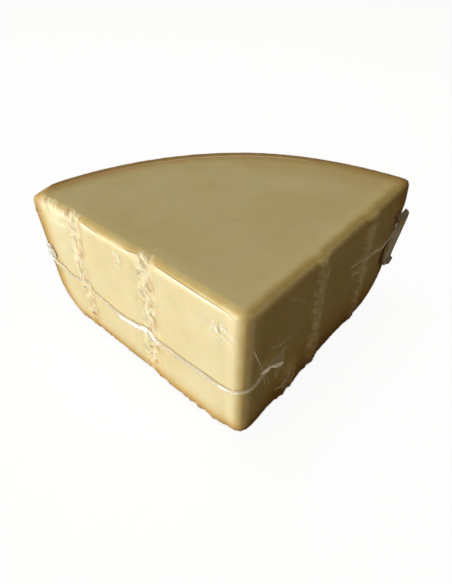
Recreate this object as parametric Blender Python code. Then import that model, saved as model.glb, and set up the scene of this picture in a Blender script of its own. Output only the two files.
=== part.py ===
"""A quarter wheel of grana cheese, halved at mid height and vacuum sealed in clear film.

cheese_wedge is the sealed body: the cheese with the film drawn tight over it. Its rind side and heel are
the outer skin of the lower half wheel, its two cut faces meet in the rounded front edge, and its top is the
cut made at mid height. The cut faces carry upright bands of broken, crumbly paste where the wheel was prised
apart. film_seam is the weld that closes the bag: a low rib across the cut faces that stands out as a narrow
fin round the rind, with the loose film along it: a flap at the right corner, a pleat near the front and a
tab at the left corner.
"""

import math

import bmesh
import bpy
from mathutils import Vector, noise

# Driving dimensions, in metres. A face's "run" is the distance along it from the wheel's centre line.
WHEEL_RADIUS = 0.215
SLICE_HEIGHT = 0.1155
HALF_ANGLE = math.radians(45)
HEEL_RADIUS = 0.033
RIND_LEAN = 0.004
TOP_ROUNDING = 0.0060
RIM_ROUNDING = 0.0030
FOOT_ROUNDING = 0.0025
FRONT_ROUNDING = 0.010
CORNER_ROUNDING = 0.0040
# The wheel is a little out of round, its right corner swells under the rim and its left one is knocked off.
SWELL_HEADING = math.radians(80)
SWELL_REACH = math.radians(22)
SWELL_HEIGHT = 0.0034
RIGHT_CORNER_SWELL = 0.0062
RIGHT_CORNER_MIDDLE = 0.092
RIGHT_CORNER_REACH = 0.015
LEFT_CORNER_CHIP = 0.0120
CORNER_SPREAD = math.radians(6)

# The broken bands: run of the middle, how far it drifts outwards on the way down, half width, height over
# the face (negative for a torn groove), how far up the face it reaches and the seed of its crags.
LEFT_BANDS = (
    {"run": 0.0855, "drift": 0.008, "width": 0.0080, "rise": -0.0034, "top": 0.200, "seed": 3.0},
    {"run": 0.1620, "drift": 0.006, "width": 0.0075, "rise": -0.0038, "top": 0.200, "seed": 11.0},
)
RIGHT_BANDS = (
    {"run": 0.0530, "drift": 0.000, "width": 0.0085, "rise": 0.0023, "top": 0.042, "seed": 51.0},
    {"run": 0.0810, "drift": 0.010, "width": 0.0080, "rise": 0.0022, "top": 0.200, "seed": 23.0},
    {"run": 0.1510, "drift": 0.010, "width": 0.0080, "rise": 0.0022, "top": 0.200, "seed": 37.0},
)
BAND_FADE = 0.018
BAND_REACH = 2.4
BAND_WANDER = 0.0025
CRAG_SIZE = 0.0080
CRAG_HEIGHT = 0.0021
FACE_WAVE_SIZE = 0.060
FACE_WAVE_HEIGHT = 0.0008
CHIP_SIZE = 0.011
CHIP_HEIGHT = 0.0012
CHIP_REACH = 0.013
# The left face's foot stands out a little along its front part.
LEFT_FOOT_FLARE = 0.0015
LEFT_FOOT_FLARE_REACH = 0.011
LEFT_FOOT_FLARE_END = 0.110
# The left face is also crumbled along its top, next to the knocked-off corner.
CRUMBLE_RUN = (0.158, 0.176)
CRUMBLE_REACH = 0.022
CRUMBLE_HEIGHT = 0.0016
RIND_WAVE_SIZE = 0.045
RIND_WAVE_HEIGHT = 0.0006

# How finely the body is divided along a face, round the rind, up the height and over each rounding.
PLAIN_STEP = 0.0120
BAND_STEP = 0.0023
RIND_STEPS = 26
LEVEL_STEP = 0.0044
ROUNDING_STEPS = 4
# Columns of points stand upright up to this run, and past it they draw in with the heel.
UPRIGHT_RUN = 0.140

# The weld: (run, height) along each cut face, from the front edge to the rind corner.
SEAM_LEFT = (
    (0.000, 0.0500), (0.022, 0.0440), (0.060, 0.0420), (0.088, 0.0465), (0.108, 0.0470),
    (0.130, 0.0435), (0.155, 0.0470), (0.180, 0.0510), (0.203, 0.0620), (0.215, 0.0680),
)
SEAM_RIGHT = (
    (0.000, 0.0520), (0.020, 0.0560), (0.040, 0.0500), (0.075, 0.0560), (0.105, 0.0680),
    (0.135, 0.0770), (0.160, 0.0720), (0.182, 0.0665), (0.197, 0.0710), (0.215, 0.0790),
)
SEAM_BACK_SAG = 0.0140
SEAM_GAP = 0.0004
SEAM_BRIDGE = 0.0030
RIB_WIDTH = 0.0013
RIB_HEIGHT = 0.0026
FIN_WIDTH = 0.0028
FIN_THICKNESS = 0.0012
FIN_DROOP = 0.0010

# Loose film along the weld, as rippled sheets that stand off a face: the flap that hangs past the right
# corner, the pleat near the front of the right face and the tab at the left corner. Each runs from a start
# to an end along its face, and its heights there are those of its upper and lower edge.
FLAP = {
    "side": 1, "start_run": 0.2040, "end_run": 0.2195, "start_out": 0.0014, "end_out": 0.0038,
    "start_heights": (0.0820, 0.0330), "end_heights": (0.0870, 0.0290),
    "swing": 0.0030, "ripple": 0.0011, "turns": 1.6, "phase": -0.45, "rows": 18, "columns": 6,
}
PLEAT = {
    "side": 1, "start_run": 0.0180, "end_run": 0.0475, "start_out": 0.0011, "end_out": 0.0030,
    "start_heights": (0.0575, 0.0545), "end_heights": (0.0665, 0.0525),
    "swing": 0.0000, "ripple": 0.0007, "turns": 0.8, "phase": 0.10, "rows": 5, "columns": 9,
}
TAB = {
    "side": -1, "start_run": 0.2040, "end_run": 0.2165, "start_out": 0.0011, "end_out": 0.0019,
    "start_heights": (0.0690, 0.0600), "end_heights": (0.0740, 0.0560),
    "swing": 0.0010, "ripple": 0.0008, "turns": 0.9, "phase": 0.30, "rows": 6, "columns": 5,
}
SHEET_THICKNESS = 0.0009
# Share of a sheet's width by which its free corners are rounded off.
SHEET_CORNER = 0.16

LEFT_RUN = Vector((-math.sin(HALF_ANGLE), math.cos(HALF_ANGLE)))
RIGHT_RUN = Vector((math.sin(HALF_ANGLE), math.cos(HALF_ANGLE)))
LEFT_OUT = Vector((-math.cos(HALF_ANGLE), -math.sin(HALF_ANGLE)))
RIGHT_OUT = Vector((math.cos(HALF_ANGLE), -math.sin(HALF_ANGLE)))
LEFT_FACING = math.atan2(LEFT_OUT.y, LEFT_OUT.x)
RIGHT_FACING = math.atan2(RIGHT_OUT.y, RIGHT_OUT.x)
# The origin is on the base, below the middle of the whole, flap included. The wheel's centre line stands
# half the body's depth in front of it.
CENTRE_LINE_X = -0.0020
CENTRE_LINE_Y = -(WHEEL_RADIUS + SWELL_HEIGHT + FRONT_ROUNDING * (math.sqrt(2) - 1)) / 2


def between(start, end, share):
    """The value at this share of the way from start to end."""
    return start + (end - start) * share


def smooth_step(value, low, high):
    """0 below low, 1 above high and a smooth ramp between."""
    share = min(max((value - low) / (high - low), 0.0), 1.0)
    return share * share * (3 - 2 * share)


def edge_inset(distance, rounding):
    """How far a surface draws in at this distance from an edge that is rounded over."""
    if distance >= rounding:
        return 0.0
    return rounding - math.sqrt(max(rounding**2 - (rounding - distance) ** 2, 0.0))


def face_inset(height):
    """How far the cut faces draw in towards the top and the foot."""
    return edge_inset(SLICE_HEIGHT - height, TOP_ROUNDING) + edge_inset(height, FOOT_ROUNDING)


def rind_radius(height):
    """The wheel's radius at this height: a barrel that leans in and turns under at the heel."""
    below = (SLICE_HEIGHT - height) / SLICE_HEIGHT
    radius = WHEEL_RADIUS - RIND_LEAN * below**2
    radius -= edge_inset(SLICE_HEIGHT - height, RIM_ROUNDING)
    return radius - edge_inset(height, HEEL_RADIUS)


def band_middle(band, height):
    """The band's run at this height: it drifts outwards and wanders a little on the way down."""
    down = 1 - height / SLICE_HEIGHT
    wander = noise.noise(Vector((band["seed"], height / 0.030, 0.5)))
    return band["run"] + band["drift"] * (down - 0.5) + BAND_WANDER * wander


def band_relief(band, run, height):
    """Height of one broken band over the cut face: a torn groove or ridge with crags across it."""
    across = (run - band_middle(band, height)) / band["width"]
    if abs(across) > BAND_REACH:
        return 0.0
    # The tear is steep on the side of the front edge and runs out slowly towards the rind.
    slope = 1.7 if across < 0 else 0.9
    body = math.exp(-((across * slope) ** 2))
    lip = math.exp(-(((across + 1.2) * 2.4) ** 2))
    at = Vector((run / CRAG_SIZE, 0.72 * height / CRAG_SIZE, band["seed"]))
    crag = noise.noise(at) + 0.6 * noise.noise(at * 2.1)
    patch = 0.8 + 0.5 * noise.noise(Vector((band["seed"], 4.5, height / 0.024)))
    plain = band["rise"] * patch * body + 0.25 * abs(band["rise"]) * lip
    rough = CRAG_HEIGHT * crag * min(1.0, 1.3 * body)
    reach = smooth_step(BAND_REACH - abs(across), 0.0, 1.0)
    return reach * smooth_step(band["top"] - height, 0.0, BAND_FADE) * (plain + rough)


def face_relief(side, run, height):
    """Height of a cut face over its flat plane. side is -1 for the left face and 1 for the right one."""
    bands = LEFT_BANDS if side < 0 else RIGHT_BANDS
    outer_end = rind_radius(height) - CORNER_ROUNDING
    keep = smooth_step(run, 0.010, 0.026) * smooth_step(outer_end - run, -0.001, 0.008)
    at = Vector((run / FACE_WAVE_SIZE, height / FACE_WAVE_SIZE, 7.5 * side))
    relief = FACE_WAVE_HEIGHT * noise.noise(at)
    relief += sum(band_relief(band, run, height) for band in bands)
    if side < 0:
        crumble = noise.noise(Vector((run, height, 0.0)) / CRAG_SIZE)
        near_top = smooth_step(CRUMBLE_REACH - (SLICE_HEIGHT - height), 0.0, CRUMBLE_REACH)
        relief += CRUMBLE_HEIGHT * crumble * near_top * smooth_step(run, *CRUMBLE_RUN)
        flare = smooth_step(LEFT_FOOT_FLARE_END - run, 0.0, 0.030) * smooth_step(run, 0.0, 0.020)
        relief += LEFT_FOOT_FLARE * flare * math.exp(-((height / LEFT_FOOT_FLARE_REACH) ** 2))
    # The split rind leaves a chipped foot.
    chip = noise.noise(Vector((run / CHIP_SIZE, 5.5 * side, 1.5)))
    relief += CHIP_HEIGHT * chip * smooth_step(CHIP_REACH - height, 0.0, CHIP_REACH)
    return keep * relief


def corner_swell(side, height):
    """How far the rind stands out at the right corner, or is knocked in at the left one."""
    if side > 0:
        return RIGHT_CORNER_SWELL * math.exp(-(((height - RIGHT_CORNER_MIDDLE) / RIGHT_CORNER_REACH) ** 2))
    return -edge_inset(SLICE_HEIGHT - height, LEFT_CORNER_CHIP)


def rind_relief(heading, height):
    """How far the rind stands out from the even wheel: its slow waves and swells."""
    at = Vector((WHEEL_RADIUS * heading, height, 0.0)) / RIND_WAVE_SIZE
    keep = smooth_step(height, 0.0, 0.010) * smooth_step(SLICE_HEIGHT - height, 0.0, 0.010)
    relief = RIND_WAVE_HEIGHT * noise.noise(at) * keep
    relief += SWELL_HEIGHT * math.exp(-(((heading - SWELL_HEADING) / SWELL_REACH) ** 2))
    off_middle = heading - math.pi / 2
    near_corner = smooth_step(abs(off_middle), HALF_ANGLE - CORNER_SPREAD, HALF_ANGLE)
    return relief + near_corner * corner_swell(-off_middle, height)


def next_column(side, run):
    """The run of the column of points after this one: close by on a band or on the crumbled corner."""
    bands = LEFT_BANDS if side < 0 else RIGHT_BANDS
    near = any(abs(run - band["run"]) < 1.6 * band["width"] for band in bands)
    near = near or (side < 0 and run > CRUMBLE_RUN[0])
    return run + (BAND_STEP if near else PLAIN_STEP)


def face_columns(side):
    """Runs at which a face has a column of points, clear of the roundings at both its ends."""
    columns = []
    run = next_column(side, FRONT_ROUNDING + TOP_ROUNDING)
    while run < WHEEL_RADIUS - CORNER_ROUNDING - BAND_STEP:
        columns.append(run)
        run = next_column(side, run)
    return columns


def corner_fillet(side, inset, radius, rounding):
    """Centre of the fillet between a cut face and the rind, and its heading from the centre line."""
    out = RIGHT_OUT if side > 0 else LEFT_OUT
    along = RIGHT_RUN if side > 0 else LEFT_RUN
    depth = inset + rounding
    centre = along * math.sqrt((radius - rounding) ** 2 - depth**2) - out * depth
    return centre, math.atan2(centre.y, centre.x)


def arc_points(centre, rounding, start, end):
    """(point, normal) pairs over one rounded corner."""
    pairs = []
    for step in range(ROUNDING_STEPS + 1):
        angle = start + (end - start) * step / ROUNDING_STEPS
        normal = Vector((math.cos(angle), math.sin(angle)))
        pairs.append((centre + rounding * normal, normal))
    return pairs


def face_points(side, height, outset, last, surface):
    """(point, normal) pairs along a cut face, from the front edge out to the run last."""
    out = RIGHT_OUT if side > 0 else LEFT_OUT
    along = RIGHT_RUN if side > 0 else LEFT_RUN
    widest = WHEEL_RADIUS - CORNER_ROUNDING
    pairs = []
    for column in face_columns(side):
        run = column
        if column > UPRIGHT_RUN:
            run = UPRIGHT_RUN + (column - UPRIGHT_RUN) * (last - UPRIGHT_RUN) / (widest - UPRIGHT_RUN)
        proud = surface(side, run, height) + outset - face_inset(height)
        pairs.append((along * run + out * proud, out))
    return pairs


def section(height, outset=0.0, surface=face_relief):
    """The body's outline at one height, as (point, outward normal), anticlockwise from the front edge."""
    inset = face_inset(height) - outset
    radius = rind_radius(height) + outset
    front = FRONT_ROUNDING + outset
    corner = CORNER_ROUNDING + outset
    front_centre = Vector((0.0, (front + inset) / math.sin(HALF_ANGLE)))
    right_centre, right_heading = corner_fillet(1, inset, radius + corner_swell(1, height), corner)
    left_centre, left_heading = corner_fillet(-1, inset, radius + corner_swell(-1, height), corner)
    last_right = right_centre.dot(RIGHT_RUN)
    last_left = left_centre.dot(LEFT_RUN)

    pairs = arc_points(front_centre, front, LEFT_FACING, RIGHT_FACING)
    pairs += face_points(1, height, outset, last_right, surface)
    pairs += arc_points(right_centre, corner, RIGHT_FACING, right_heading)
    for step in range(1, RIND_STEPS):
        heading = right_heading + (left_heading - right_heading) * step / RIND_STEPS
        normal = Vector((math.cos(heading), math.sin(heading)))
        pairs.append(((radius + rind_relief(heading, height)) * normal, normal))
    pairs += arc_points(left_centre, corner, left_heading, LEFT_FACING + 2 * math.pi)
    pairs += reversed(face_points(-1, height, outset, last_left, surface))
    return pairs


def levels():
    """Heights of the body's sections, closer together over the rounded top and foot."""
    turns = [math.sin(math.pi / 2 * step / ROUNDING_STEPS) for step in range(ROUNDING_STEPS + 1)]
    foot = [FOOT_ROUNDING * (1 - turn) for turn in reversed(turns)]
    top = [SLICE_HEIGHT - TOP_ROUNDING * (1 - turn) for turn in turns]
    count = round((top[0] - foot[-1]) / LEVEL_STEP)
    middle = [foot[-1] + (top[0] - foot[-1]) * step / count for step in range(1, count)]
    return foot + middle + top


def placed(point, height):
    """A point of the wheel's plan at this height, in the part's own frame."""
    return Vector((point.x + CENTRE_LINE_X, point.y + CENTRE_LINE_Y, height))


def material(name, colour, roughness, alpha=1.0):
    """A Principled finish."""
    finish = bpy.data.materials.new(name)
    finish.use_nodes = True
    shader = finish.node_tree.nodes["Principled BSDF"]
    shader.inputs["Base Color"].default_value = (*colour, 1.0)
    shader.inputs["Roughness"].default_value = roughness
    shader.inputs["Metallic"].default_value = 0.0
    shader.inputs["Alpha"].default_value = alpha
    return finish


def mesh_object(name, mesh_data, finish):
    """A bmesh made into a named object of the scene, shaded smooth with its creases kept."""
    bmesh.ops.recalc_face_normals(mesh_data, faces=mesh_data.faces)
    mesh = bpy.data.meshes.new(name)
    mesh_data.to_mesh(mesh)
    mesh_data.free()
    mesh.shade_smooth()
    mesh.set_sharp_from_angle(angle=math.radians(40))
    mesh.materials.append(finish)
    body = bpy.data.objects.new(name, mesh)
    bpy.context.scene.collection.objects.link(body)
    return body


def bridge(mesh_data, lower, upper):
    """Quads between two closed rings of vertices."""
    for index in range(len(lower)):
        following = (index + 1) % len(lower)
        mesh_data.faces.new((lower[index], lower[following], upper[following], upper[index]))


def make_wedge(finish):
    """The sealed body: one section over another, closed by the flat cut on top and the flat base."""
    mesh_data = bmesh.new()
    rings = []
    for height in levels():
        ring = [mesh_data.verts.new(placed(point, height)) for point, _ in section(height)]
        if rings:
            bridge(mesh_data, rings[-1], ring)
        rings.append(ring)
    mesh_data.faces.new(list(reversed(rings[0])))
    mesh_data.faces.new(rings[-1])
    return mesh_object("cheese_wedge", mesh_data, finish)


def height_along(course, run):
    """The weld's height at this run of a face, eased from one waypoint to the next."""
    for (start, start_height), (end, end_height) in zip(course, course[1:]):
        if run <= end:
            return between(start_height, end_height, smooth_step(run, start, end))
    return course[-1][1]


def seam_height(point, normal):
    """The weld's height over one point of the outline."""
    if normal.dot(RIGHT_OUT) > 0.999:
        return height_along(SEAM_RIGHT, point.dot(RIGHT_RUN))
    if normal.dot(LEFT_OUT) > 0.999:
        return height_along(SEAM_LEFT, point.dot(LEFT_RUN))
    if point.length < WHEEL_RADIUS / 2:
        # Over the front edge, from the left face's start to the right face's.
        share = 0.5 + 0.5 * normal.x / math.sin(HALF_ANGLE)
        return between(SEAM_LEFT[0][1], SEAM_RIGHT[0][1], smooth_step(share, 0.0, 1.0))
    # Round the rind, from the right corner to the left one.
    share = 0.5 - 0.5 * point.x / point.length / math.sin(HALF_ANGLE)
    ends = between(SEAM_RIGHT[-1][1], SEAM_LEFT[-1][1], share)
    return ends - SEAM_BACK_SAG * 4 * share * (1 - share)


def bridged_relief(side, run, height):
    """The film under the weld, which spans the hollows of a face from crag to crag."""
    reach = (-SEAM_BRIDGE, 0.0, SEAM_BRIDGE)
    around = [face_relief(side, run + step, height + rise) for step in reach for rise in reach]
    return max(0.0, *around)


def make_seam_ring(finish):
    """The weld round the body: a low rib on the cut faces that widens to a fin round the rind."""
    mesh_data = bmesh.new()
    rings = []
    guide = section(SLICE_HEIGHT / 2, SEAM_GAP, bridged_relief)
    for index, (point, normal) in enumerate(guide):
        height = seam_height(point, normal)
        point, normal = section(height, SEAM_GAP, bridged_relief)[index]
        fin = smooth_step(normal.y, -0.5, 0.3)
        width = RIB_WIDTH + (FIN_WIDTH - RIB_WIDTH) * fin
        half = (RIB_HEIGHT + (FIN_THICKNESS - RIB_HEIGHT) * fin) / 2
        droop = FIN_DROOP * fin
        # (out, up) points round the weld: its foot on the body, its lower side, its lip and its upper side.
        profile = (
            (0.0, half), (0.0, -half),
            (0.6 * width, -0.85 * half - 0.5 * droop),
            (width, -0.35 * half - droop), (width, 0.35 * half - droop),
            (0.6 * width, 0.85 * half - 0.5 * droop),
        )
        ring = [mesh_data.verts.new(placed(point + normal * out, height + up)) for out, up in profile]
        rings.append(ring)
    for ring, following in zip(rings, rings[1:] + rings[:1]):
        bridge(mesh_data, ring, following)
    return mesh_object("film_seam", mesh_data, finish)


def sheet_point(sheet, down, across):
    """Middle of a loose sheet's film at a share of its height and of its width."""
    face_out = RIGHT_OUT if sheet["side"] > 0 else LEFT_OUT
    along = RIGHT_RUN if sheet["side"] > 0 else LEFT_RUN
    wave = math.sin(2 * math.pi * (sheet["turns"] * down + sheet["phase"]))
    start = sheet["start_run"] - sheet["swing"] * wave
    end = between(sheet["end_run"], start, SHEET_CORNER * abs(2 * down - 1) ** 6)
    out = between(sheet["start_out"], sheet["end_out"] + sheet["ripple"] * wave, across)
    upper = between(sheet["start_heights"][0], sheet["end_heights"][0], across)
    lower = between(sheet["start_heights"][1], sheet["end_heights"][1], across)
    return placed(along * between(start, end, across) + face_out * out, between(upper, lower, down))


def make_sheet(sheet, finish):
    """A loose sheet of film, given its thickness."""
    mesh_data = bmesh.new()
    rows = []
    for row in range(sheet["rows"] + 1):
        down = row / sheet["rows"]
        spots = [sheet_point(sheet, down, step / sheet["columns"]) for step in range(sheet["columns"] + 1)]
        rows.append([mesh_data.verts.new(spot) for spot in spots])
    for upper, lower in zip(rows, rows[1:]):
        for column in range(sheet["columns"]):
            corners = (upper[column], lower[column], lower[column + 1], upper[column + 1])
            mesh_data.faces.new(corners)
    film = mesh_object("film_sheet", mesh_data, finish)
    thickness = film.modifiers.new("film_thickness", "SOLIDIFY")
    thickness.thickness = SHEET_THICKNESS
    thickness.offset = 0.0
    return film


def join_to(body, helper):
    """Fuses the helper into the body and removes it."""
    union = body.modifiers.new("join", "BOOLEAN")
    union.operation = "UNION"
    union.object = helper
    bpy.context.view_layer.update()
    graph = bpy.context.evaluated_depsgraph_get()
    joined = bpy.data.meshes.new_from_object(body.evaluated_get(graph))
    body.modifiers.clear()
    body.data = joined
    bpy.data.objects.remove(helper, do_unlink=True)


def main():
    for leftover in list(bpy.data.objects):
        bpy.data.objects.remove(leftover, do_unlink=True)
    paste = material("cheese", (0.86, 0.73, 0.42), 0.35)
    film = material("clear_film", (0.88, 0.87, 0.84), 0.12, alpha=0.5)
    make_wedge(paste)
    seam = make_seam_ring(film)
    for sheet in (FLAP, PLEAT, TAB):
        join_to(seam, make_sheet(sheet, film))


main()
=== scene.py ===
"""A wedge of grana cheese sealed in clear film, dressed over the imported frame."""

import math
from collections import namedtuple

import bmesh
import bpy
import numpy as np
from mathutils import Matrix, Vector, noise
from mathutils.bvhtree import BVHTree


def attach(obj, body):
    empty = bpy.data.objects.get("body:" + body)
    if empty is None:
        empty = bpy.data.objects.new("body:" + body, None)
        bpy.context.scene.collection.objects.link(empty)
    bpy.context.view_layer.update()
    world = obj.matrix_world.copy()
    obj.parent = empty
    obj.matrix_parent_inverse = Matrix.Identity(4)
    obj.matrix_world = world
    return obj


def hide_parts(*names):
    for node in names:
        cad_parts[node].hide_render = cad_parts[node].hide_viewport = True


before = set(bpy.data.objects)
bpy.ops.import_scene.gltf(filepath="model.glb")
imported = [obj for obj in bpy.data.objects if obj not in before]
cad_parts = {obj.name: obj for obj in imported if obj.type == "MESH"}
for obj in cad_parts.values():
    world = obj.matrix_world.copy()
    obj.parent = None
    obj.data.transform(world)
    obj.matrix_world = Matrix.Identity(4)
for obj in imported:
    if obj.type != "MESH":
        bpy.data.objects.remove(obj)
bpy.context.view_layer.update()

# The wheel and the cuts, in metres, as the solids have them. A face's "run" is the distance along it from the
# wheel's centre line.
WHEEL_RADIUS = 0.215
SLICE_HEIGHT = 0.1155
HALF_ANGLE = math.radians(45)
HEEL_RADIUS = 0.033
RIND_LEAN = 0.004
TOP_ROUNDING = 0.006
RIM_ROUNDING = 0.003
FOOT_ROUNDING = 0.0025
FRONT_ROUNDING = 0.01
CORNER_ROUNDING = 0.004
SWELL_HEADING = math.radians(80)
SWELL_REACH = math.radians(22)
SWELL_HEIGHT = 0.0034
RIGHT_CORNER_SWELL = 0.0062
RIGHT_CORNER_MIDDLE = 0.092
RIGHT_CORNER_REACH = 0.015
LEFT_CORNER_CHIP = 0.012
CORNER_SPREAD = math.radians(6)
CENTRE_X = -0.002
CENTRE_Y = -(WHEEL_RADIUS + SWELL_HEIGHT + FRONT_ROUNDING * (math.sqrt(2) - 1)) / 2

# The broken bands of the left face, -1, and of the right one, 1: the run of the middle, the drift down the
# face, the half width, how far a band stands out, its top and the seed of its noise.
Band = namedtuple("Band", "run drift width rise top seed")
BANDS = {
    -1: (Band(0.0855, 0.008, 0.008, -0.0024, 0.2, 3.0), Band(0.162, 0.006, 0.0075, -0.0018, 0.2, 11.0)),
    1: (
        Band(0.053, 0.0, 0.0085, 0.0023, 0.042, 51.0),
        Band(0.081, 0.01, 0.008, 0.0022, 0.2, 23.0),
        Band(0.151, 0.01, 0.008, 0.0022, 0.2, 37.0),
    ),
}
BAND_FADE = 0.018
BAND_REACH = 2.4
BAND_WANDER = 0.0025
BAND_WANDER_SIZE = 0.03
BAND_PATCH_SIZE = 0.024
CRAG_SIZE = 0.008
CRAG_HEIGHT = 0.0011
FACE_WAVE_SIZE = 0.06
FACE_WAVE_HEIGHT = 0.0008
CHIP_SIZE = 0.011
CHIP_HEIGHT = 0.0007
CHIP_REACH = 0.013
FOOT_FLARE = 0.0015
FOOT_FLARE_REACH = 0.011
FOOT_FLARE_END = 0.11
CRUMBLE_RUN = (0.158, 0.176)
CRUMBLE_REACH = 0.022
CRUMBLE_HEIGHT = 0.0016
CRUMBLE_RAGGED = 0.01
CRUMBLE_SIZE = 0.012
CRUMBLE_SHARE = 0.7
RIND_WAVE_SIZE = 0.045
RIND_WAVE_HEIGHT = 0.0006
# The runs between which a face's relief starts.
FRONT_FADE = (0.01, 0.026)

# Flakes and crumbs of the broken paste, finer than the solids have them.
FLAKE_LENGTH = 0.0085
FLAKE_WIDTH = 0.0028
FLAKE_HEIGHT = 0.001
FLAKE_SLANT = math.radians(38)
FLAKE_BEND_SIZE = 0.01
CRUMB_SIZE = 0.0038
CRUMB_HEIGHT = 0.0004
NIBBLE_SIZE = 0.0028
NIBBLE_HEIGHT = {-1: 0.0018, 1: 0.0008}
NIBBLE_REACH = 0.006
# The ragged sides of a band: their waves' size and their reach as a share of its half width.
RAGGED_SIZE = 0.0052
RAGGED_SHARE = 0.48
# How high the lip beside a band is, as a share of the band's own height.
LIP_SHARE = 0.06
# The torn strip of a band on each face: its middle and its half width, both in half widths of the band.
TORN_STRIP = {-1: (0.25, 0.95), 1: (0.0, 1.1)}
# The right face's bands are whole again this high up, and are this much less rough than the left one's.
RIGHT_TORN_TOP = 0.1115
RIGHT_FINENESS = 0.5

# Where the film is crumpled and where it is hazy on the left face: (run, height, half length, half height).
CRUMPLES = ((0.1165, 0.1125, 0.011, 0.004), (0.11, 0.103, 0.0045, 0.004), (0.02, 0.0975, 0.007, 0.005))
HAZE_SPOTS = ((0.11, 0.103, 0.005, 0.0045), (0.019, 0.0965, 0.0075, 0.0055))
# How milky the film is where it lies slack over the torn bands of the left face and of the right one.
SLACK_HAZE = {-1: 0.04, 1: 0.1}
CRUMPLE_SIZE = 0.003
CRUMPLE_HEIGHT = 0.0004

# The weld: (run, height) along each cut face, from the front edge to the rind corner.
SEAM = {
    -1: (
        (0.0, 0.0505), (0.01, 0.0475), (0.025, 0.0458), (0.05, 0.045), (0.071, 0.046), (0.08, 0.0453),
        (0.0905, 0.0492), (0.105, 0.0462), (0.115, 0.0443), (0.125, 0.0447), (0.151, 0.0485), (0.163, 0.054),
        (0.172, 0.0526), (0.18, 0.0508), (0.194, 0.055), (0.204, 0.059), (0.215, 0.066),
    ),
    1: (
        (0.0, 0.052), (0.02, 0.0555), (0.04, 0.05), (0.075, 0.056), (0.105, 0.068),
        (0.132, 0.0771), (0.147, 0.0757), (0.17, 0.0693), (0.182, 0.0656), (0.193, 0.0665), (0.2, 0.072),
        (0.204, 0.078), (0.215, 0.083),
    ),
}
SEAM_BACK_SAG = 0.014
# (run, width, lean away from the face in degrees) of the weld's strip along each face.
STRIP = {
    -1: (
        (0.0, 0.0026, 20), (0.02, 0.0036, 10), (0.035, 0.004, 5), (0.07, 0.004, 5), (0.078, 0.0038, 31),
        (0.118, 0.0036, 33), (0.128, 0.0032, 6), (0.18, 0.0026, 5), (0.205, 0.0026, 40), (0.215, 0.0028, 75),
    ),
    1: (
        (0.0, 0.0024, 26), (0.018, 0.0028, 20), (0.045, 0.0006, 0), (0.12, 0.0005, 0), (0.134, 0.0018, 20),
        (0.195, 0.0024, 30), (0.215, 0.0028, 75),
    ),
}
STRIP_THICKNESS = 0.00032
STRIP_LIFT = 0.0003
# How far the strip lies in the cheese where it is too narrow to show.
STRIP_SINK = 0.003
FIN_WIDTH, FIN_LEAN = 0.0028, 75
FRONT_WIDTH, FRONT_LEAN = 0.0026, 26
CORE_RUN = 0.19
CORE_DEPTH = 0.02
FRONT_CORE = 0.03
FACE_STATIONS = 130
CORNER_STATIONS = 24
RIND_STATIONS = 110
FRONT_STATIONS = 26

# Loose film: each sheet's side, the height and number of its ripples, the width of the bead along its edges,
# and those two edges as (run, height, distance off the face) in millimetres.
SHEETS = {
    "flap": (1, 0.0008, 1.6, 0.00075, (
        (197.5, 89.5, 1), (203.6, 84.2, 1.2), (207, 77.5, 1.4), (202.2, 70, 1.6), (197.5, 63, 1.8),
        (193.5, 56, 2), (193, 50, 2.2), (195, 43, 2.4), (204, 35, 2.6),
    ), (
        (208.5, 93, 3.8), (217.3, 87.2, 4), (222.5, 81.5, 4), (218.8, 73.2, 4.2), (213.6, 62.2, 4.2),
        (208.5, 47.5, 4), (210, 43, 4.4), (218.4, 36.5, 3.6), (214.5, 31.4, 3.4),
    )),
    "pleat": (1, 0.0004, 0.8, 0.0006, (
        (19, 57, 1), (28.3, 56, 2), (37.2, 51.4, 2.6), (38.4, 59, 1.6), (43, 61.2, 1),
    ), (
        (18.5, 57.8, 0.8), (24, 61.2, 1.2), (32.5, 62.2, 1.2), (40, 61.9, 1), (45.2, 61.6, 0.8),
    )),
    "pleat_lip": (1, 0.0005, 2.2, 0.0006, (
        (16, 58.4, 0.8), (20.7, 57.8, 2.6), (25.3, 56.5, 1.4), (30.7, 53.4, 3.6), (38.5, 49.4, 2.8),
    ), (
        (16, 59.2, 1), (20.4, 59.4, 1.8), (24.8, 58.4, 2.2), (30.7, 55.2, 2.6), (37.8, 51.8, 3),
    )),
    "tab": (-1, 0.0003, 1.3, 0.0002, (
        (205, 71.5, 0.4), (202, 69.7, 1), (201.5, 67, 0.5), (199, 64, 1), (199.5, 61.2, 0.6),
        (201, 59.2, 0.4),
    ), (
        (209.5, 70.5, 0.4), (211, 68, 1), (210.5, 65.3, 0.6), (211.5, 63, 1.2), (209.5, 60.5, 0.8),
        (208, 58.8, 0.6),
    )),
}
SHEET_THICKNESS = 0.00035
BEAD_STEPS = 60

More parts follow.
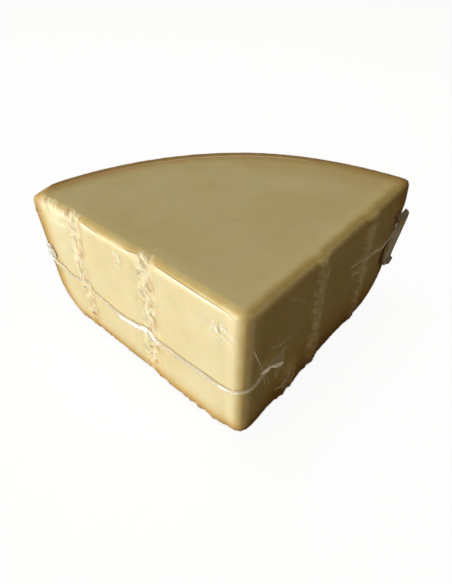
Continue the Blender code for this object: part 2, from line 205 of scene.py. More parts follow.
# Creases drawn up in the film: the side, the thickness and the (run, height) course of each, in millimetres.
CREASES = (
    (1, 0.5, ((7.3, 87.3), (11.7, 75.8), (16.2, 65.7), (20.5, 54.5))),
    (1, 0.5, ((20.8, 54), (21.2, 48.6), (22.8, 41.8), (25.2, 35.2))),
    (1, 0.45, ((45.5, 60), (42.8, 44.5), (40.2, 41))),
    (1, 0.35, ((35.2, 47), (35.8, 43), (37, 38.7))),
    (1, 0.35, ((33.7, 76.9), (34.7, 72), (36.9, 68))),
    (1, 0.4, ((22.4, 76.6), (29.5, 71), (36, 66.8), (43.8, 65.7), (52, 63))),
    (1, 0.35, ((40.5, 103.2), (49, 97.5), (57, 90.7), (64.5, 82.5))),
    (1, 0.45, ((70.8, 115), (72.2, 111), (73.4, 107.7))),
    (1, 0.45, ((85.3, 99.7), (83.6, 97.5), (82.1, 95.9))),
    (1, 0.4, ((132.3, 63.9), (138.5, 64.2), (144.6, 62.3))),
    (1, 0.45, ((48, 13.2), (43, 16), (36.8, 20.1))),
    (1, 0.35, ((59.8, 25.7), (58, 19), (56.1, 11.1))),
    (1, 0.35, ((52, 36.6), (50.8, 22.9), (44, 17.8), (36.6, 17.2))),
    (1, 0.3, ((42.2, 49.9), (39.6, 37.4), (33, 33.9))),
    (1, 0.4, ((24.3, 49), (27.1, 38.8), (29.8, 31.5))),
    (1, 0.4, ((33.2, 44.7), (36.2, 36.3), (37.7, 30.2))),
    (1, 0.4, ((129.7, 66.4), (136.2, 66.4), (144.2, 63.5))),
    (1, 0.35, ((89, 36.6), (92, 23.9), (92.8, 13.7))),
    (-1, 0.35, ((38.4, 98.3), (33.7, 98.1), (27.5, 97.8))),
    (-1, 0.3, ((20.6, 105), (20.6, 101), (20.7, 97.1))),
    (-1, 0.3, ((13.9, 97.5), (12, 98.5), (10, 100))),
)
# The film's sharp fold along the top of the left face, in its separate runs, finished white and glowing as a
# painted highlight.
TOP_FOLDS = (
    (-1, 0.6, ((10, 110.4), (16.5, 112.3), (34.5, 112.7), (48, 113.1), (62, 113.4), (75, 113.8))),
    (-1, 0.55, ((89.5, 113.8), (97.3, 113.2), (103.5, 113.4))),
    (-1, 0.55, ((129, 112.7), (139.3, 113.2), (148, 113.6))),
)
CREASE_SINK = 0.4
# The film's fold just inside the rim of the top: how far in, how thick, and its headings in degrees.
RIM_FOLD_INSET = 0.0122
RIM_FOLD_THICKNESS = 0.0005
RIM_FOLD_ENDS = (66, 132)

# How finely the cheese and the film are meshed, and the grid on which a face's relief is drawn up.
CHEESE_GRAIN = 0.0021
FILM_GRAIN = 0.0019
MAP_STEP = 0.0006
MAP_MARGIN = 0.001
MAP_PAST_RIND = 0.008
WHEEL_SIDES = 96
FACE_DEPTH = 0.03
RIND_DEPTH = 0.04
FILM_GAP = 0.0004
# What is added to the depth under the rind, as a share: round the side, on the flat face's left and right.
# The right share carries the rind's brown higher up the right foot as painted shade.
SIDE_RIND_SHARE = -0.28
FLAT_RIND_AND_SHADE_SHARES = (0.14, -0.52)
# How much paste the chip off the left corner lays bare.
LEFT_CHIP_BARES = 1.1
CHEESE_INSET = 0.0003

CENTRE_LINE = Vector((CENTRE_X, CENTRE_Y, 0.0))
# The way out of each cut face and the way along it: -1 is the left face and 1 the right one.
OUT = {side: Vector((side * math.cos(HALF_ANGLE), -math.sin(HALF_ANGLE), 0.0)) for side in (-1, 1)}
ALONG = {side: Vector((side * math.sin(HALF_ANGLE), math.cos(HALF_ANGLE), 0.0)) for side in (-1, 1)}
FACES = {side: (np.array(OUT[side]), np.array(ALONG[side])) for side in OUT}


def between(start, end, share):
    return start + (end - start) * share


def smooth_step(value, low, high):
    """0 below low, 1 above high and a smooth ramp between. value may be an array."""
    share = np.clip((value - low) / (high - low), 0.0, 1.0)
    return share * share * (3 - 2 * share)


def ramp(value, low, high):
    """smooth_step for one number, quicker."""
    share = min(max((value - low) / (high - low), 0.0), 1.0)
    return share * share * (3 - 2 * share)


def uneven(x, y, z):
    """Smooth noise from -1 to 1."""
    return noise.noise(Vector((x, y, z)))


def edge_inset(distance, rounding):
    if distance >= rounding:
        return 0.0
    return rounding - math.sqrt(max(rounding**2 - (rounding - distance) ** 2, 0.0))


def rind_radius(height):
    below = (SLICE_HEIGHT - height) / SLICE_HEIGHT
    radius = WHEEL_RADIUS - RIND_LEAN * below**2
    radius -= edge_inset(SLICE_HEIGHT - height, RIM_ROUNDING)
    return radius - edge_inset(height, HEEL_RADIUS)


# ---- relief of the cut faces ----


def band_middle(band, height):
    down = 1 - height / SLICE_HEIGHT
    wander = uneven(band.seed, height / BAND_WANDER_SIZE, 0.5)
    return band.run + band.drift * (down - 0.5) + BAND_WANDER * wander


def band_across(band, run, height):
    """How far across a band this is, in half widths, with its sides ragged."""
    ragged = uneven(run / RAGGED_SIZE, height / RAGGED_SIZE, band.seed + 9)
    ragged += 0.6 * uneven(2.3 * run / RAGGED_SIZE, 2.3 * height / RAGGED_SIZE, band.seed)
    return (run - band_middle(band, height)) / band.width + RAGGED_SHARE * ragged


def band_relief(band, run, height):
    """Height of one broken band over the cut face, as in the solids but with ragged sides."""
    across = band_across(band, run, height)
    if abs(across) > BAND_REACH:
        return 0.0
    slope = 1.05 if across < 0 else 0.9
    body = math.exp(-((across * slope) ** 2))
    lip = math.exp(-(((across + 1.2) * 2.4) ** 2))
    at = Vector((run / CRAG_SIZE, 0.72 * height / CRAG_SIZE, band.seed))
    crag = noise.noise(at) + 0.6 * noise.noise(at * 2.1)
    patch = 0.8 + 0.5 * uneven(band.seed, 4.5, height / BAND_PATCH_SIZE)
    plain = band.rise * patch * body + LIP_SHARE * abs(band.rise) * lip
    rough = CRAG_HEIGHT * crag * min(1.0, 1.3 * body)
    reach = ramp(BAND_REACH - abs(across), 0.0, 1.0)
    return reach * ramp(band.top - height, 0.0, BAND_FADE) * (plain + rough)


def face_ends(run, height):
    """1 over the face, fading to 0 at the front edge and at the rind."""
    outer_end = rind_radius(height) - CORNER_ROUNDING
    return ramp(run, *FRONT_FADE) * ramp(outer_end - run, -0.001, 0.008)


def broken(side, run, height):
    """How broken the paste is here, from 0 on the cut face to 1 in a band or at the crumbled corner."""
    most = 0.0
    for band in BANDS[side]:
        across = band_across(band, run, height)
        if abs(across) > BAND_REACH:
            continue
        middle, half = TORN_STRIP[side]
        share = ramp(half - abs(across - middle), 0.0, 0.5)
        share *= ramp(band.top - height, 0.0, BAND_FADE)
        most = max(most, share)
    if side > 0:
        return most * ramp(RIGHT_TORN_TOP - height, 0.0, 0.008)
    if side < 0:
        ragged = CRUMBLE_RAGGED * uneven(run / CRUMBLE_SIZE, height / CRUMBLE_SIZE, 2.0)
        near_top = ramp(CRUMBLE_REACH - (SLICE_HEIGHT - height) + ragged, 0.0, 0.012)
        most = max(most, CRUMBLE_SHARE * near_top * ramp(run + ragged, *CRUMBLE_RUN))
    return most


def groove_shade(side, run, height):
    """How much brown shade is painted on the paste here: most down the smooth side of the left face's
    grooves, the side turned from the light.
    """
    most = 0.0
    for band in BANDS[side] if side < 0 else ():
        across = band_across(band, run, height)
        patch = 0.75 + 0.9 * uneven(run / 0.009, height / 0.014, band.seed + 3)
        most = max(most, patch * ramp(across, -1.9, -0.1) * ramp(0.55 - across, 0.0, 0.6))
    return most


def flakes(side, run, height):
    """Slanted flakes of torn paste with crumbs over them, from about -1 to 1."""
    slant = FLAKE_SLANT if side < 0 else -FLAKE_SLANT
    along = run * math.cos(slant) + height * math.sin(slant)
    across = height * math.cos(slant) - run * math.sin(slant)
    bent = 0.5 * uneven(run / FLAKE_BEND_SIZE, height / FLAKE_BEND_SIZE, 4.0)
    at = Vector((along / FLAKE_LENGTH, across / FLAKE_WIDTH + bent, 3.0 * side))
    scale = noise.noise(at) + 0.5 * noise.noise(at * 1.9)
    return 1.6 * scale


def crumbs(side, run, height):
    """Rounded crumbs with clefts between them, from about -1 to 1."""
    at = Vector((run / CRUMB_SIZE, 0.85 * height / CRUMB_SIZE, 20.0 + side))
    near, following = noise.voronoi(at, distance_metric="DISTANCE")[0][:2]
    return 1.5 * (following - near) - 0.6


def plain_relief(side, run, height):
    """Height of a cut face over its flat plane, as in the solids."""
    at = Vector((run / FACE_WAVE_SIZE, height / FACE_WAVE_SIZE, 7.5 * side))
    relief = FACE_WAVE_HEIGHT * noise.noise(at)
    relief += sum(band_relief(band, run, height) for band in BANDS[side])
    if side < 0:
        crumble = noise.noise(Vector((run, height, 0.0)) / CRAG_SIZE)
        near_top = ramp(CRUMBLE_REACH - (SLICE_HEIGHT - height), 0.0, CRUMBLE_REACH)
        relief += CRUMBLE_HEIGHT * crumble * near_top * ramp(run, *CRUMBLE_RUN)
        flare = ramp(FOOT_FLARE_END - run, 0.0, 0.03) * ramp(run, 0.0, 0.02)
        relief += FOOT_FLARE * flare * math.exp(-((height / FOOT_FLARE_REACH) ** 2))
    chip = uneven(run / CHIP_SIZE, 5.5 * side, 1.5)
    relief += CHIP_HEIGHT * chip * ramp(CHIP_REACH - height, 0.0, CHIP_REACH)
    return face_ends(run, height) * relief


def fine_relief(side, run, height):
    """The flakes and crumbs of the broken paste, and the nibbled foot."""
    share = broken(side, run, height)
    relief = 0.0
    if share > 0:
        relief += share * FLAKE_HEIGHT * flakes(side, run, height)
        relief += share * CRUMB_HEIGHT * crumbs(side, run, height)
        relief *= RIGHT_FINENESS if side > 0 else 1.0
    if height < NIBBLE_REACH:
        nibble = uneven(run / NIBBLE_SIZE, 3.5 * side, height / 0.006)
        relief += NIBBLE_HEIGHT[side] * nibble * ramp(NIBBLE_REACH - height, 0.0, NIBBLE_REACH)
    return ramp(run, *FRONT_FADE) * relief


def near_spots(side, run, height, spots):
    """1 at the middle of the spots, which are on the left face, fading to 0 round them."""
    if side > 0:
        return 0.0
    offs = (((run - x) / long) ** 2 + ((height - z) / high) ** 2 for x, z, long, high in spots)
    return max(math.exp(-off) for off in offs)


def crumpled(side, run, height):
    """Where the film is crumpled, from 0 to 1."""
    near = near_spots(side, run, height, CRUMPLES)
    return near if near > 0.04 else 0.0


def wrinkle(side, run, height):
    """The crumpled film's small sharp folds."""
    at = Vector((run / CRUMPLE_SIZE, height / CRUMPLE_SIZE, 6.0))
    return CRUMPLE_HEIGHT * (1 - 2.6 * abs(noise.noise(at)) + 0.5 * noise.noise(at * 2.3))


def hazy(side, run, height):
    """Where the film is milky and smeared, from 0 to 1."""
    smear = uneven(run / 0.0035, height / 0.0055, 9.0)
    smear += 0.6 * uneven(run / 0.0012, height / 0.002, 2.0)
    slack = SLACK_HAZE[side] * broken(side, run, height) ** 1.6 * ramp(smear, -0.7, 0.4)
    return max(near_spots(side, run, height, HAZE_SPOTS) * ramp(smear, -0.15, 0.35), slack)


def draw_maps(value_of):
    """A value over each cut face, as rows up the face of columns along it."""
    runs = np.arange(0.0, WHEEL_RADIUS + MAP_PAST_RIND, MAP_STEP)
    heights = np.arange(-MAP_MARGIN, SLICE_HEIGHT + MAP_MARGIN, MAP_STEP)
    return {side: np.array([[value_of(side, run, up) for run in runs] for up in heights]) for side in FACES}


def read_map(chart, run, height):
    """The chart's values at arrays of run and height, eased between its points."""
    column = np.clip(run / MAP_STEP, 0, chart.shape[1] - 1.001)
    row = np.clip((height + MAP_MARGIN) / MAP_STEP, 0, chart.shape[0] - 1.001)
    left, low = column.astype(int), row.astype(int)
    across, up = column - left, row - low
    lower = between(chart[low, left], chart[low, left + 1], across)
    upper = between(chart[low + 1, left], chart[low + 1, left + 1], across)
    return between(lower, upper, up)


def moved(chart, step, axis):
    """The chart moved along one axis, with its border carried on."""
    last = chart.shape[axis] - 1
    return np.take(chart, np.clip(np.arange(last + 1) + step, 0, last), axis=axis)


def widest_of(chart, reach, pick=np.maximum):
    """Each point of the chart becomes the highest, or with np.minimum the lowest, within reach."""
    for axis in (0, 1):
        chart = pick.reduce([moved(chart, step, axis) for step in range(-reach, reach + 1)])
    return chart


def blurred(chart, reach):
    steps = range(-reach, reach + 1)
    for axis in (0, 1, 0, 1):
        chart = sum(moved(chart, step, axis) for step in steps) / len(steps)
    return chart


# ---- the block, cut and rounded ----


def deselect():
    bpy.ops.object.select_all(action="DESELECT")


def link(made):
    bpy.context.scene.collection.objects.link(made)


def only(piece):
    """Selects this piece alone."""
    deselect()
    piece.select_set(True)
    bpy.context.view_layer.objects.active = piece


def apply_modifier(piece, kind, **settings):
    only(piece)
    modifier = piece.modifiers.new(kind.lower(), kind)
    for name, value in settings.items():
        setattr(modifier, name, value)
    bpy.ops.object.modifier_apply(modifier=modifier.name)


def select_rim(piece, height):
    """Selects the edges that lie at this height, in edit mode."""
    mesh = bmesh.from_edit_mesh(piece.data)
    for edge in mesh.edges:
        edge.select_set(all(abs(vertex.co.z - height) < 1e-5 for vertex in edge.verts))
    mesh.select_flush_mode()
    bmesh.update_edit_mesh(piece.data)


def edge_rounding(ends):
    """How far this edge of the block is rounded over, given its two ends."""
    if all(math.hypot(end.x - CENTRE_X, end.y - CENTRE_Y) < 1e-5 for end in ends):
        return FRONT_ROUNDING
    on_top = all(abs(end.z - SLICE_HEIGHT) < 1e-5 for end in ends)
    for out in OUT.values():
        if all(abs((end - CENTRE_LINE).dot(out)) < 1e-5 for end in ends):
            if on_top:
                return TOP_ROUNDING
            return FOOT_ROUNDING if all(abs(end.z) < 1e-5 for end in ends) else CORNER_ROUNDING
    return RIM_ROUNDING if on_top else 0.0


def mark_roundings(piece):
    """Gives each edge of the block its share of the widest rounding, in edit mode."""
    mesh = bmesh.from_edit_mesh(piece.data)
    floats = mesh.edges.layers.float
    weight = floats.get("bevel_weight_edge") or floats.new("bevel_weight_edge")
    for edge in mesh.edges:
        edge[weight] = edge_rounding([vertex.co for vertex in edge.verts]) / FRONT_ROUNDING
    bmesh.update_edit_mesh(piece.data)


def cut_block():
    """An eighth of a wheel: heel turned under, halved at mid height, quartered by two cuts, edges rounded."""
    deselect()
    bpy.ops.mesh.primitive_cylinder_add(
        vertices=WHEEL_SIDES, radius=WHEEL_RADIUS, depth=2 * SLICE_HEIGHT,
        location=(CENTRE_X, CENTRE_Y, SLICE_HEIGHT),
    )
    block = bpy.context.object
    bpy.ops.object.transform_apply(location=True, rotation=True, scale=True)
    bpy.ops.object.mode_set(mode="EDIT")
    select_rim(block, 0.0)
    bpy.ops.mesh.bevel(offset=HEEL_RADIUS, segments=18, profile=0.5, affect="EDGES", clamp_overlap=False)
    top = Vector((0.0, 0.0, SLICE_HEIGHT))
    for place, facing in ((top, Vector((0, 0, 1))), (CENTRE_LINE, OUT[-1]), (CENTRE_LINE, OUT[1])):
        bpy.ops.mesh.select_all(action="SELECT")
        bpy.ops.mesh.bisect(plane_co=place, plane_no=facing, use_fill=True, clear_outer=True)
    mark_roundings(block)
    bpy.ops.object.mode_set(mode="OBJECT")
    apply_modifier(
        block, "BEVEL", width=FRONT_ROUNDING, segments=8, limit_method="WEIGHT", use_clamp_overlap=False,
    )
    return block


def evenly_meshed(block, name, grain):
    """A copy of the block in faces of one size."""
    piece = block.copy()
    piece.data = block.data.copy()
    piece.name = piece.data.name = name
    link(piece)
    apply_modifier(piece, "REMESH", mode="VOXEL", voxel_size=grain)
    apply_modifier(piece, "SMOOTH", factor=0.5, iterations=3)
    return piece


def places(piece):
    spots = np.empty(len(piece.data.vertices) * 3)
    piece.data.vertices.foreach_get("co", spots)
    return spots.reshape(-1, 3)


def put(piece, spots):
    piece.data.vertices.foreach_set("co", spots.ravel())
    piece.data.update()


def round_wheel(spots):
    """How far each point is off the wheel's centre line: the way, the radius and the heading."""
    off = spots[:, :2] - (CENTRE_X, CENTRE_Y)
    return off, np.hypot(off[:, 0], off[:, 1]), np.arctan2(off[:, 1], off[:, 0])


def true_round(spots):
    """Brings the many-sided block back to a true round."""
    off, _, headings = round_wheel(spots)
    sector = 2 * math.pi / WHEEL_SIDES
    heading = np.mod(headings, sector) - sector / 2
    spots[:, :2] = (CENTRE_X, CENTRE_Y) + off * (np.cos(heading) / math.cos(sector / 2))[:, None]


def corner_swell(side, height):
    if side > 0:
        return RIGHT_CORNER_SWELL * math.exp(-(((height - RIGHT_CORNER_MIDDLE) / RIGHT_CORNER_REACH) ** 2))
    return -edge_inset(SLICE_HEIGHT - height, LEFT_CORNER_CHIP)


def rind_relief(heading, height):
    """How far the rind stands out from the even wheel, as in the solids."""
    at = Vector((WHEEL_RADIUS * heading, height, 0.0)) / RIND_WAVE_SIZE
    keep = ramp(height, 0.0, 0.01) * ramp(SLICE_HEIGHT - height, 0.0, 0.01)
    relief = RIND_WAVE_HEIGHT * noise.noise(at) * keep
    relief += SWELL_HEIGHT * math.exp(-(((heading - SWELL_HEADING) / SWELL_REACH) ** 2))
    off_middle = heading - math.pi / 2
    near_corner = ramp(abs(off_middle), HALF_ANGLE - CORNER_SPREAD, HALF_ANGLE)
    below = (SLICE_HEIGHT - height) / SLICE_HEIGHT
    return relief + near_corner * corner_swell(-off_middle, height) - RIND_LEAN * below**2


def swell_rind(spots):
    """Moves the rind, and what lies behind it, in or out from the wheel's centre line."""
    off, radius, headings = round_wheel(spots)
    near = np.nonzero(radius > WHEEL_RADIUS - RIND_DEPTH)[0]
    move = np.array([rind_relief(headings[index], spots[index, 2]) for index in near])
    move *= smooth_step(radius[near], WHEEL_RADIUS - RIND_DEPTH, WHEEL_RADIUS - 0.004)
    spots[near, :2] += off[near] / radius[near, None] * move[:, None]


def raise_face(spots, side, chart):
    """Moves a cut face, and what lies behind it, out by its chart of relief."""
    out, along = FACES[side]
    off = spots - np.array(CENTRE_LINE)
    share = smooth_step(off @ out, -FACE_DEPTH, -0.001)
    spots += out * (share * read_map(chart, off @ along, spots[:, 2]))[:, None]


def over_faces(spots, charts):
    """The charts' values at the points on the two cut faces, fading to 0 behind them."""
    off = spots - np.array(CENTRE_LINE)
    values = np.zeros(len(spots))
    for side, (out, along) in FACES.items():
        values += smooth_step(off @ out, -0.008, -0.004) * read_map(charts[side], off @ along, spots[:, 2])
    return values


def keep_attribute(piece, name, values):
    """A value at each of the piece's points, for its finish to read."""
    layer = piece.data.attributes.new(name, "FLOAT", "POINT")
    layer.data.foreach_set("value", np.asarray(values, dtype=np.float32))


def chipped_off(headings, heights):
    """How much is chipped off the left corner at each point."""
    down = np.clip(LEFT_CORNER_CHIP - (SLICE_HEIGHT - heights), 0, LEFT_CORNER_CHIP)
    inset = LEFT_CORNER_CHIP - np.sqrt(LEFT_CORNER_CHIP**2 - down**2)
    return inset * smooth_step(headings - math.pi / 2, HALF_ANGLE - CORNER_SPREAD, HALF_ANGLE)


def rind_depth_with_foot_shade(spots):
    """How deep each point lies under the rind, the wheel's flat face included, made shallower along the right
    foot to paint shade there.
    """
    off, radius, headings = round_wheel(spots)
    outwards = radius - (WHEEL_RADIUS - HEEL_RADIUS)
    downwards = HEEL_RADIUS - spots[:, 2]
    outside = np.hypot(np.maximum(outwards, 0), np.maximum(downwards, 0))
    depth = HEEL_RADIUS - outside - np.minimum(np.maximum(outwards, downwards), 0)
    depth += LEFT_CHIP_BARES * chipped_off(headings, spots[:, 2])
    # The right foot's brown is carried higher than the left's: painted shade where that foot stands in
    # shadow.
    flat_rind_and_shade = between(*FLAT_RIND_AND_SHADE_SHARES, smooth_step(off[:, 0], -0.01, 0.03))
    return depth * (1 + between(SIDE_RIND_SHARE, flat_rind_and_shade, np.clip(1 - outwards / 0.02, 0, 1)))


def edge_distance(spots):
    """How far each point is from the nearest edge of the cuts, counted threefold down from the top."""
    off = spots - np.array(CENTRE_LINE)
    depths = (3.0 * (SLICE_HEIGHT - spots[:, 2]), -off @ FACES[-1][0], -off @ FACES[1][0])
    return np.sort(np.stack(depths), axis=0)[1]


def refine(piece, charts, least):
    """Divides the faces where a chart is above least, so that what is fine there has a shape."""
    fine = over_faces(places(piece), charts) > least
    only(piece)
    bpy.ops.object.mode_set(mode="EDIT")
    bpy.ops.mesh.select_mode(type="FACE")
    mesh = bmesh.from_edit_mesh(piece.data)
    for face in mesh.faces:
        face.select_set(all(fine[vertex.index] for vertex in face.verts))
    bmesh.update_edit_mesh(piece.data)
    bpy.ops.mesh.subdivide(number_cuts=1, smoothness=0.0)
    bpy.ops.object.mode_set(mode="OBJECT")


def shade_smooth(piece):
    only(piece)
    bpy.ops.object.shade_smooth()


def make_cheese(block, torn, groove_shades, relief):
    """The cheese itself: the block with its torn bands, crumbs, nibbled foot and uneven rind."""
    cheese = evenly_meshed(block, "cheese", CHEESE_GRAIN)
    refine(cheese, torn, 0.05)
    refine(cheese, torn, 0.45)
    spots = places(cheese)
    true_round(spots)
    hollows = {side: (relief[side] - blurred(relief[side], 5)) / 0.001 for side in FACES}
    layers = {
        "rind_depth_with_foot_shade": rind_depth_with_foot_shade(spots),
        "edge": edge_distance(spots),
        "crumb": over_faces(spots, torn),
        "groove_shade": over_faces(spots, groove_shades),
        "recess": over_faces(spots, hollows),
    }
    swell_rind(spots)
    for side in FACES:
        raise_face(spots, side, relief[side] - CHEESE_INSET)
    put(cheese, spots)
    for name, values in layers.items():
        keep_attribute(cheese, name, values)
    shade_smooth(cheese)
    return cheese


def make_film(block, torn, relief):
    """The clear skin, drawn tight: it lies on the crags and spans the clefts between them."""
    crumples, wrinkles = draw_maps(crumpled), draw_maps(wrinkle)
    film = evenly_meshed(block, "film", FILM_GRAIN)
    refine(film, {side: np.maximum(torn[side], crumples[side]) for side in FACES}, 0.05)
    refine(film, crumples, 0.2)
    spots = places(film)
    true_round(spots)
    haze = over_faces(spots, draw_maps(hazy))
    edges = 1 - smooth_step(edge_distance(spots), 0.011, 0.017)
    slack = np.maximum(over_faces(spots, torn), edges)
    swell_rind(spots)
    for side in FACES:
        spanned = widest_of(widest_of(relief[side], 3), 3, np.minimum)
        drawn = blurred(np.maximum(spanned, relief[side]), 1)
        raise_face(spots, side, drawn + crumples[side] * wrinkles[side])
    put(film, spots)
    normals = np.empty(len(spots) * 3)
    film.data.vertices.foreach_get("normal", normals)
    spots += normals.reshape(-1, 3) * FILM_GAP
    spots[:, 2] = np.maximum(spots[:, 2], 0.0)
    put(film, spots)
    keep_attribute(film, "haze", haze)
    keep_attribute(film, "slack", slack)
    shade_smooth(film)
    return film


# ---- weld, loose film and creases ----


def course_point(course, share):
    """The point at this share of a course, on a smooth curve through its waypoints."""
    last = len(course) - 1
    place = share * last
    first = min(int(place), last - 1)
    picks = [course[min(max(first + step, 0), last)] for step in (-1, 0, 1, 2)]
    before, start, end, after = (Vector(pick) for pick in picks)
    way = place - first
    bend = 2 * before - 5 * start + 4 * end - after
    turn = 3 * start - before - 3 * end + after
    return start + 0.5 * ((end - before) * way + bend * way**2 + turn * way**3)


def value_along(course, run, item):
    """One of the values of a course's waypoints at this run, eased from one to the next."""
    for start, end in zip(course, course[1:]):
        if run <= end[0]:
            return between(start[item], end[item], ramp(run, start[0], end[0]))
    return course[-1][item]


def face_place(side, run, height, out):
    return CENTRE_LINE + ALONG[side] * run + OUT[side] * out + Vector((0.0, 0.0, height))


def touched(skin, core, outwards, height):
    """Where the film is at this height, looking back from outside towards the core."""
    return skin.ray_cast(Vector((core.x, core.y, height)) + outwards * 0.3, -outwards)[0]


def turned(heading):
    return Vector((math.cos(heading), math.sin(heading), 0.0))


def weld_stations():
    """(core, outward direction, height, width, lean) along the weld, from the front edge's right side on."""
    first_run = FRONT_CORE * math.cos(HALF_ANGLE)
    rind_heading = HALF_ANGLE + math.atan2(CORE_DEPTH, CORE_RUN)

    def on_side(side, core, outwards, run):
        height = value_along(SEAM[side], run, 1)
        return core, outwards, height, value_along(STRIP[side], run, 1), value_along(STRIP[side], run, 2)

    def along_face(side, share):
        run = between(first_run, CORE_RUN, share)
        return on_side(side, face_place(side, run, 0.0, -CORE_DEPTH), OUT[side], run)

    def round_corner(side, share):
        core = face_place(side, CORE_RUN, 0.0, -CORE_DEPTH)
        heading = between(-HALF_ANGLE, rind_heading, share)
        outwards = turned(heading if side > 0 else math.pi - heading)
        return on_side(side, core, outwards, between(CORE_RUN, WHEEL_RADIUS, share))

    def round_rind(share):
        height = between(SEAM[1][-1][1], SEAM[-1][-1][1], share) - SEAM_BACK_SAG * 4 * share * (1 - share)
        outwards = turned(between(rind_heading, math.pi - rind_heading, share))
        return CENTRE_LINE, outwards, height, FIN_WIDTH, FIN_LEAN

    def round_front(share):
        left = value_along(SEAM[-1], first_run * max(1 - 2 * share, 0.0), 1)
        right = value_along(SEAM[1], first_run * max(2 * share - 1, 0.0), 1)
        core = CENTRE_LINE + Vector((0.0, FRONT_CORE, 0.0))
        outwards = turned(between(math.pi + HALF_ANGLE, 2 * math.pi - HALF_ANGLE, share))
        return core, outwards, between(left, right, ramp(share, 0.2, 0.8)), FRONT_WIDTH, FRONT_LEAN

    def shares(count):
        return (step / count for step in range(count))

    return [
        *(along_face(1, share) for share in shares(FACE_STATIONS)),
        *(round_corner(1, share) for share in shares(CORNER_STATIONS)),
        *(round_rind(share) for share in shares(RIND_STATIONS)),
        *(round_corner(-1, 1 - share) for share in shares(CORNER_STATIONS)),
        *(along_face(-1, 1 - share) for share in shares(FACE_STATIONS)),
        *(round_front(share) for share in shares(FRONT_STATIONS)),
    ]


def flat_grid(name, long, wide):
    """A flat sheet, and each of its points' shares of its length and width."""
    deselect()
    bpy.ops.mesh.primitive_grid_add(x_subdivisions=long, y_subdivisions=wide, size=1.0)
    piece = bpy.context.object
    piece.name = piece.data.name = name
    return piece, places(piece)[:, :2] + 0.5


def strip_spot(skin, station, across, place):
    """A point of the weld's strip: its root lies on the film and its lip leans away from it."""
    core, outwards, height, width, lean = station
    lean = math.radians(lean * (1 + 0.35 * uneven(place * 60, 1.5, 0.0)))
    width *= 1 + 0.18 * uneven(place * 90, 7.5, 0.0)
    down = width * across * math.cos(lean)
    spot = touched(skin, core, outwards, height + 0.4 * width * math.cos(lean) - down)
    sunk = STRIP_SINK * (1 - ramp(width, 0.0007, 0.0015))
    return spot + outwards * (STRIP_LIFT - sunk + width * math.sin(lean) * across**1.3)


def close_and_thicken(piece, thickness):
    """Merges the seam of a sheet, turns it one way and gives it its thickness."""
    only(piece)
    bpy.ops.object.mode_set(mode="EDIT")
    bpy.ops.mesh.select_all(action="SELECT")
    bpy.ops.mesh.remove_doubles(threshold=1e-6)
    bpy.ops.mesh.normals_make_consistent(inside=False)
    bpy.ops.object.mode_set(mode="OBJECT")
    apply_modifier(piece, "SOLIDIFY", thickness=thickness, offset=0.0)
    shade_smooth(piece)


def make_weld(skin):
    """The bag's weld, a thin strip right round the wedge that becomes a narrow fin round the rind."""
    stations = weld_stations()
    weld, shares = flat_grid("weld", len(stations), 5)
    stops = np.round(shares[:, 0] * len(stations)).astype(int) % len(stations)
    spots = [
        strip_spot(skin, stations[stop], across, stop / len(stations))
        for stop, across in zip(stops, shares[:, 1])
    ]
    put(weld, np.array(spots))
    close_and_thicken(weld, STRIP_THICKNESS)
    return weld


def threads(name, courses):
    """Fine raised lines that taper at both ends. Each course is (thickness, points)."""
    line = bpy.data.curves.new(name, "CURVE")
    line.dimensions = "3D"
    line.bevel_depth = 0.001
    line.bevel_resolution = 2
    line.use_fill_caps = True
    for thickness, points in courses:
        spline = line.splines.new("POLY")
        spline.points.add(len(points) - 1)
        for index, point in enumerate(points):
            taper = math.sin(math.pi * (index + 0.3) / (len(points) - 0.4)) ** 0.6
            spline.points[index].co = (*point, 1.0)
            spline.points[index].radius = max(thickness * taper, 0.00006) / 0.002
    piece = bpy.data.objects.new(name, line)
    link(piece)
    only(piece)
    bpy.ops.object.convert(target="MESH")
    shade_smooth(piece)
    return piece


def rim_fold(skin):
    """The course of the fold that follows the rim round the top."""
    points = []
    for step in range(121):
        heading = math.radians(between(*RIM_FOLD_ENDS, step / 120))
        radius = WHEEL_RADIUS + rind_relief(heading, SLICE_HEIGHT) - RIM_FOLD_INSET
        above = CENTRE_LINE + turned(heading) * radius + Vector((0.0, 0.0, 0.3))
        spot = skin.ray_cast(above, Vector((0.0, 0.0, -1.0)))[0]
        points.append(spot + Vector((0.0, 0.0, RIM_FOLD_THICKNESS * (0.5 - CREASE_SINK))))
    return points


def on_film(skin, lines):
    """The courses of fine lines that stand up from the tight film."""
    courses = []
    for side, thickness, course in lines:
        thickness /= 1000
        count = 10 * len(course)
        points = []
        for step in range(count):
            run, height = course_point(course, step / (count - 1)) / 1000
            spot = touched(skin, face_place(side, run, 0.0, -CORE_DEPTH), OUT[side], height)
            wobble = 0.25 * thickness * noise.noise(Vector((run, height, side * 0.01)) * 400)
            points.append(spot + OUT[side] * (wobble + thickness * (0.5 - CREASE_SINK)))
        courses.append((thickness, points))
    return courses


def make_creases(skin):
    """The lines to which the tight film is drawn up here and there, and its fold round the rim."""
    return threads("film_creases", [*on_film(skin, CREASES), (RIM_FOLD_THICKNESS, rim_fold(skin))])


def make_folds(skin):
    """The film's folds along the top of the left face, whose white glowing finish is a painted highlight."""
    return threads("film_folds", on_film(skin, TOP_FOLDS))


